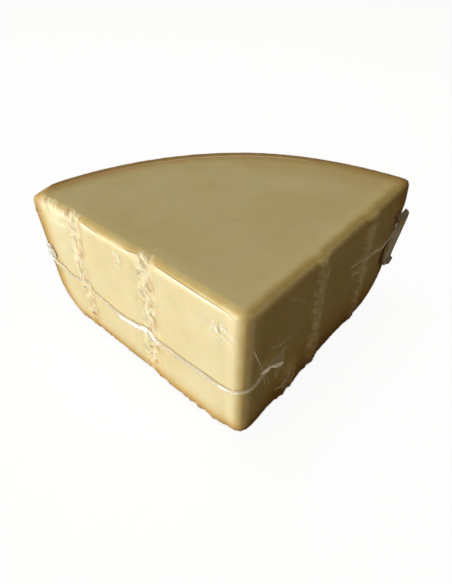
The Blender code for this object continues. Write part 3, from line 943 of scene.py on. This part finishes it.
def make_sheet(name, side, ripple, turns, bead_width, inner, outer):
    """Loose film between two free edges, rippled, with its edges rolled to a thin bead."""
    sheet, shares = flat_grid(name, 60, 14)
    spots = []
    for down, across in shares:
        run, height, out = between(course_point(inner, down), course_point(outer, down), across) / 1000
        wave = math.sin(2 * math.pi * (turns * down + 0.35 * across))
        out += ripple * wave * math.sin(math.pi * across) ** 0.7
        out += 0.4 * ripple * noise.noise(Vector((run, height, 0.0)) / 0.004)
        spots.append(face_place(side, run, height, out))
    put(sheet, np.array(spots))
    close_and_thicken(sheet, SHEET_THICKNESS)
    beads = []
    for course in (inner, outer):
        edge = [course_point(course, step / BEAD_STEPS) / 1000 for step in range(BEAD_STEPS + 1)]
        beads.append((bead_width, [face_place(side, *spot) for spot in edge]))
    bead = threads(name + "_bead", beads)
    only(sheet)
    bead.select_set(True)
    bpy.ops.object.join()
    return sheet


# ---- finishes ----


def colour(red, green, blue):
    return (red, green, blue, 1.0)


# The paste, its cloudier and its paler spots, a painted golden glow and shade along its cut edges, and where
# it is torn: painted shade in its grooves and clefts, painted light on its crests.
PASTE = colour(0.85, 0.69, 0.39)
PASTE_CLOUD = colour(0.815, 0.64, 0.335)
PASTE_SPECK = colour(0.9, 0.78, 0.5)
PAINTED_EDGE_GLOW = colour(0.59, 0.39, 0.115)
PAINTED_GROOVE_SHADE = colour(0.59, 0.37, 0.135)
CHALK = colour(0.9, 0.79, 0.54)
# Painted light on the crests of torn paste and painted shade in its clefts.
PAINTED_CREST_LIGHT = colour(0.92, 0.81, 0.56)
PAINTED_CLEFT_SHADE = colour(0.56, 0.37, 0.16)
# The rind's two browns, the layer under them and the tan paste next to it.
RIND = colour(0.5, 0.28, 0.085)
RIND_MOTTLE = colour(0.36, 0.185, 0.052)
UNDER_RIND = colour(0.64, 0.4, 0.14)
TAN_PASTE = colour(0.73, 0.5, 0.2)
# The milky film's colours, from the tight skin to the smeared tab, the painted highlight's white, and the
# sheen's.
PEARL = colour(0.95, 0.9, 0.79)
HIGHLIGHT_WHITE = colour(0.97, 0.94, 0.86)
WHITE = colour(0.9, 0.83, 0.7)
SMOKE = colour(0.86, 0.78, 0.62)
GREY = colour(0.78, 0.68, 0.52)
SHEEN = colour(1.0, 0.95, 0.86)
# Each film piece's finish: name, colour, size and height of its waves, how much it veils what is behind it,
# how much more where it is milky and where it is hazy, and its glow: painted light, an emission in the milk
# that brightens it as if it caught the lamps.
FILMS = {
    "film": ("tight_film", PEARL, 0.011, 0.0005, 0.01, 0.03, 0.85, 0.12),
    "film_creases": ("drawn_film", WHITE, 0.005, 0.0002, 0.6, 0.2, 0.0, 0.06),
    "film_folds": ("painted_highlight_film", HIGHLIGHT_WHITE, 0.005, 0.0002, 0.85, 0.15, 0.0, 0.36),
    "weld": ("welded_film", GREY, 0.006, 0.0006, 0.3, 0.22, 0.0, 0.1),
    "flap": ("flap_film", GREY, 0.007, 0.001, 0.82, 0.16, 0.0, 0.0),
    "pleat": ("loose_film", WHITE, 0.007, 0.001, 0.25, 0.35, 0.0, 0.03),
    "pleat_lip": ("folded_film", WHITE, 0.005, 0.001, 0.36, 0.4, 0.0, 0.2),
    "tab": ("smeared_film", SMOKE, 0.004, 0.001, 0.45, 0.5, 0.0, 0.0),
}
# How much of the light the tight film, the slack film and the loose pieces mirror, and how dull the sheen is.
TIGHT_SHEEN, SLACK_SHEEN, LOOSE_SHEEN = 0.055, 0.005, 0.0385
TIGHT_DULLNESS, SLACK_DULLNESS = 0.09, 0.38


def node(tree, kind, sources=None, **settings):
    """A new node with these settings, its inputs linked to outputs or set to plain values."""
    made = tree.nodes.new("ShaderNode" + kind)
    for name, value in settings.items():
        setattr(made, name, value)
    for place, source in (sources or {}).items():
        if isinstance(source, bpy.types.NodeSocket):
            tree.links.new(source, made.inputs[place])
        else:
            made.inputs[place].default_value = source
    return made


def finish_tree(name):
    """A new material and its empty node tree."""
    finish = bpy.data.materials.new(name)
    finish.use_nodes = True
    finish.node_tree.nodes.clear()
    return finish, finish.node_tree


def maths(tree, operation, *values, clamp=False):
    return node(tree, "Math", dict(enumerate(values)), operation=operation, use_clamp=clamp).outputs[0]


def spread(tree, value, low, high, to_low=0.0, to_high=1.0):
    """value from low to high, spread over to_low to to_high."""
    ends = {"Value": value, "From Min": low, "From Max": high, "To Min": to_low, "To Max": to_high}
    return node(tree, "MapRange", ends, interpolation_type="SMOOTHSTEP").outputs["Result"]


def blend(tree, share, first, second):
    """Mixes two colours."""
    return node(tree, "Mix", {0: share, 6: first, 7: second}, data_type="RGBA", clamp_factor=True).outputs[2]


def mixed(tree, share, first, second):
    """Mixes two shaders."""
    return node(tree, "MixShader", {0: share, 1: first, 2: second}).outputs[0]


def noise_of(tree, scale, detail, roughness=0.5):
    place = node(tree, "TexCoord").outputs["Object"]
    sources = {"Vector": place, "Scale": scale, "Detail": detail, "Roughness": roughness}
    return node(tree, "TexNoise", sources).outputs["Fac"]


def patches(tree, size, detail=3.0, roughness=0.5):
    """Noise over the piece with patches of this size in metres."""
    return noise_of(tree, 1 / size, detail, roughness)


def layer(tree, name):
    """The value of this name that the piece has at each point."""
    return node(tree, "Attribute", attribute_name=name).outputs["Fac"]


def raised(tree, height, distance):
    """The normal of a surface raised by height times distance."""
    return node(tree, "Bump", {"Strength": 0.5, "Distance": distance, "Height": height}).outputs[0]


def cheese_finish():
    """Straw-yellow paste, pale on its torn crumbs and tan to brown at the rind, with painted light and shade:
    a golden glow along its cut edges, brown shade in its torn grooves, light on their crests and shade in
    their clefts.
    """
    finish, tree = finish_tree("grana_paste")
    crumb, recess = layer(tree, "crumb"), layer(tree, "recess")
    edge_glow_distance = maths(tree, "MULTIPLY_ADD", patches(tree, 0.01), 0.004, layer(tree, "edge"))
    ragged = maths(tree, "MULTIPLY_ADD", patches(tree, 0.006), 0.0032, -0.0016)
    depth = maths(tree, "ADD", layer(tree, "rind_depth_with_foot_shade"), ragged)
    paler = spread(tree, patches(tree, 0.0055, 2.0), 0.38, 0.62, 0.2, 0.7)
    paste = PASTE
    for share, tone in (
        (spread(tree, patches(tree, 0.045, 4.0), 0.35, 0.68), PASTE_CLOUD),
        (spread(tree, patches(tree, 0.0035), 0.6, 0.72, 0.0, 0.3), PASTE_SPECK),
        # Painted glow and shade: a deeper gold along the cut edges stands in for light shining through them
        # and for the shade on their roundings.
        (spread(tree, edge_glow_distance, 0.0045, 0.011, 0.85, 0.0), PAINTED_EDGE_GLOW),
        # Torn paste: brown shade painted on the floor of a groove, pale on its crumbs, painted light on its
        # crests and painted shade in its clefts.
        (maths(tree, "MULTIPLY", layer(tree, "groove_shade"), 0.9, clamp=True), PAINTED_GROOVE_SHADE),
        (maths(tree, "MULTIPLY", crumb, paler), CHALK),
        (spread(tree, recess, 0.05, 0.6, 0.0, 0.32), PAINTED_CREST_LIGHT),
        (spread(tree, recess, -0.8, -0.1, 0.32, 0.0), PAINTED_CLEFT_SHADE),
        # Next to the rind the paste is tan, and higher up the right foot as painted shade.
        (spread(tree, depth, 0.008, 0.025, 0.7, 0.0), TAN_PASTE),
    ):
        paste = blend(tree, share, paste, tone)
    mottled = spread(tree, patches(tree, 0.012, 5.0, 0.65), 0.35, 0.65)
    rind = blend(tree, mottled, RIND, RIND_MOTTLE)
    under = blend(tree, spread(tree, depth, 0.003, 0.008), rind, UNDER_RIND)
    grain = maths(tree, "MULTIPLY", patches(tree, 0.0012), maths(tree, "MULTIPLY_ADD", crumb, 0.9, 0.1))
    shader = node(tree, "BsdfPrincipled", {
        "Base Color": blend(tree, spread(tree, depth, 0.007, 0.0138), under, paste),
        "Roughness": spread(tree, crumb, 0.0, 1.0, 0.42, 0.6),
        "Specular IOR Level": 0.12,
        "Subsurface Weight": 0.45,
        "Subsurface Radius": (1.0, 0.55, 0.22),
        "Subsurface Scale": 0.004,
        "Normal": raised(tree, grain, 0.0006),
    })
    node(tree, "OutputMaterial", {"Surface": shader.outputs[0]})
    return finish


def crinkle_group():
    """The film's fine waves and its milky patches, shared by all its finishes."""
    group = bpy.data.node_groups.new("film_crinkle", "ShaderNodeTree")
    ways = {"Wave Size": "INPUT", "Fine Share": "INPUT", "Height": "OUTPUT", "Milk": "OUTPUT"}
    for name, way in ways.items():
        group.interface.new_socket(name, in_out=way, socket_type="NodeSocketFloat")
    given = group.nodes.new("NodeGroupInput").outputs
    waves = noise_of(group, maths(group, "DIVIDE", 1.0, given["Wave Size"]), 2.0)
    fine = noise_of(group, maths(group, "DIVIDE", 3.4, given["Wave Size"]), 3.0)
    height = maths(group, "MULTIPLY_ADD", fine, given["Fine Share"], waves)
    result = group.nodes.new("NodeGroupOutput").inputs
    group.links.new(height, result["Height"])
    group.links.new(spread(group, patches(group, 0.018, 5.0), 0.48, 0.74), result["Milk"])
    return group


def film_finish(crinkles, name, milk_colour, wave_size, wave_height, cover, milk_share, haze_share, glow):
    """Clear film: what is behind it shows, milky where it is crinkled or smeared, with a painted glow in its
    milk, under a sharp sheen.
    """
    finish, tree = finish_tree(name)
    crinkle = node(tree, "Group", {"Wave Size": wave_size, "Fine Share": 0.25}, node_tree=crinkles).outputs
    # The milk's emission is painted light: a glow standing in for light the film catches in its folds and
    # haze.
    milk = node(tree, "BsdfPrincipled", {
        "Base Color": milk_colour, "Roughness": 0.35,
        "Emission Color": milk_colour, "Emission Strength": glow,
    })
    veiled = maths(tree, "MULTIPLY_ADD", crinkle["Milk"], milk_share, cover)
    dulled, mirrored = TIGHT_DULLNESS, LOOSE_SHEEN
    if haze_share:
        veiled = maths(tree, "MULTIPLY_ADD", layer(tree, "haze"), haze_share, veiled, clamp=True)
        slack = layer(tree, "slack")
        dulled = spread(tree, slack, 0.1, 0.8, TIGHT_DULLNESS, SLACK_DULLNESS)
        mirrored = spread(tree, slack, 0.1, 0.8, TIGHT_SHEEN, SLACK_SHEEN)
    veil = mixed(tree, veiled, node(tree, "BsdfTransparent").outputs[0], milk.outputs[0])
    normal = raised(tree, crinkle["Height"], wave_height)
    sheen = node(tree, "BsdfAnisotropic", {"Color": SHEEN, "Roughness": dulled, "Normal": normal})
    node(tree, "OutputMaterial", {"Surface": mixed(tree, mirrored, veil, sheen.outputs[0])})
    return finish


# ---- floor, light and camera ----

FLOOR_SIZE = 12.0
FLOOR_DROP = 0.0002
FLOOR_GLOW = 0.94
# The floor as the camera sees it, under its glow, and as it lights the wedge.
FLOOR_SEEN = colour(0.1, 0.1, 0.1)
FLOOR_UNSEEN = colour(0.035, 0.028, 0.02)
# Colour and strength of the room as it lights the wedge, as a sheen mirrors it and as the wall behind.
ROOM = ((colour(1.0, 0.76, 0.25), 0.162), (colour(0.9, 0.87, 0.8), 0.18), (colour(0.93, 0.93, 0.93), 1.0))
# Each soft light: place, the height that it faces, width, depth, power, tint and if a sheen mirrors it.
LIGHTS = {
    "key": ((-3.0, -0.9, 0.16), 0.05, 3.4, 0.2, 143.0, (0.885, 0.975, 1.05), True),
    "side": ((-2.05, -1.35, 0.6), 0.05, 0.5, 0.5, 5.0, (1.0, 0.86, 0.58), False),
    "over": ((-0.35, 0.6, 2.3), 0.1, 1.0, 1.0, 17.8, (0.84, 0.97, 0.97), False),
    "glint": ((1.2, -0.9, 0.9), 0.05, 0.4, 0.4, 1.0, (1.0, 0.95, 0.85), True),
}
# The photograph's viewpoint, its turns in radians, and its focal length and height in pixels.
CAMERA_PLACE = (CENTRE_X - 0.02283, CENTRE_Y - 0.14363, 0.26376)
CAMERA_YAW, CAMERA_PITCH, CAMERA_ROLL = 0.08051, 0.72106, 0.00735
FOCAL_LENGTH = 407.16
PHOTO_HEIGHT = 584
SENSOR = 36.0


def make_floor():
    """A pale floor that shows white and lights little."""
    deselect()
    bpy.ops.mesh.primitive_plane_add(size=FLOOR_SIZE, location=(0.0, 0.0, -FLOOR_DROP))
    floor = bpy.context.object
    floor.name = "floor"
    finish, tree = finish_tree("pale_floor")
    unseen, pale = (node(tree, "BsdfDiffuse", {"Color": c}).outputs[0] for c in (FLOOR_UNSEEN, FLOOR_SEEN))
    glow = node(tree, "Emission", {"Color": colour(1.0, 1.0, 1.0), "Strength": FLOOR_GLOW}).outputs[0]
    shown = node(tree, "AddShader", {0: pale, 1: glow}).outputs[0]
    camera_ray = node(tree, "LightPath").outputs["Is Camera Ray"]
    node(tree, "OutputMaterial", {"Surface": mixed(tree, camera_ray, unseen, shown)})
    floor.data.materials.append(finish)


def make_light(name, place, faced_height, width, depth, power, tint, mirrored):
    """A soft box at a place, turned towards the wedge."""
    lamp = bpy.data.lights.new(name, "AREA")
    lamp.shape = "RECTANGLE"
    lamp.size = width
    lamp.size_y = depth
    lamp.energy = power
    lamp.color = tint
    box = bpy.data.objects.new(name, lamp)
    box.location = place
    aim = Vector((0.0, 0.0, faced_height)) - Vector(place)
    box.rotation_euler = aim.to_track_quat("-Z", "Y").to_euler()
    box.visible_glossy = mirrored
    link(box)


def make_world():
    """A warm room, paler where a sheen mirrors it, with a white wall behind the wedge."""
    world = bpy.data.worlds.new("studio")
    bpy.context.scene.world = world
    world.use_nodes = True
    tree = world.node_tree
    tree.nodes.clear()
    room, mirrored, wall = (node(tree, "Background", {0: tint, 1: share}).outputs[0] for tint, share in ROOM)
    ray = node(tree, "LightPath").outputs
    unseen = mixed(tree, ray["Is Glossy Ray"], room, mirrored)
    node(tree, "OutputWorld", {"Surface": mixed(tree, ray["Is Camera Ray"], unseen, wall)})


def make_camera():
    """The photograph's viewpoint, in front of the wedge and above it."""
    lens = bpy.data.cameras.new("camera")
    lens.sensor_width = SENSOR
    lens.lens = SENSOR * FOCAL_LENGTH / PHOTO_HEIGHT
    lens.clip_start = 0.01
    lens.clip_end = 50.0
    camera = bpy.data.objects.new("camera", lens)
    aim = Matrix.Rotation(-CAMERA_YAW, 4, "Z") @ Matrix.Rotation(math.pi / 2 - CAMERA_PITCH, 4, "X")
    camera.matrix_world = Matrix.Translation(CAMERA_PLACE) @ aim @ Matrix.Rotation(CAMERA_ROLL, 4, "Z")
    link(camera)
    bpy.context.scene.camera = camera


def main():
    bpy.context.scene.view_settings.view_transform = "Standard"
    torn, groove_shades = draw_maps(broken), draw_maps(groove_shade)
    plain, fine = draw_maps(plain_relief), draw_maps(fine_relief)
    relief = {side: plain[side] + fine[side] for side in FACES}
    block = cut_block()
    cheese = make_cheese(block, torn, groove_shades, relief)
    film = make_film(block, torn, relief)
    bpy.data.objects.remove(block)
    skin = BVHTree.FromObject(film, bpy.context.evaluated_depsgraph_get())
    loose = [make_weld(skin), *(make_sheet(name, *sheet) for name, sheet in SHEETS.items())]
    tight = [film, make_creases(skin), make_folds(skin)]

    crinkles = crinkle_group()
    for piece in (cheese, *tight, *loose):
        finish = cheese_finish() if piece is cheese else film_finish(crinkles, *FILMS[piece.name])
        piece.data.materials.clear()
        piece.data.materials.append(finish)
        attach(piece, "root")
        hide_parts("film_seam" if piece in loose else "cheese_wedge")
    make_floor()
    make_world()
    for name, light in LIGHTS.items():
        make_light(name, *light)
    make_camera()


main()
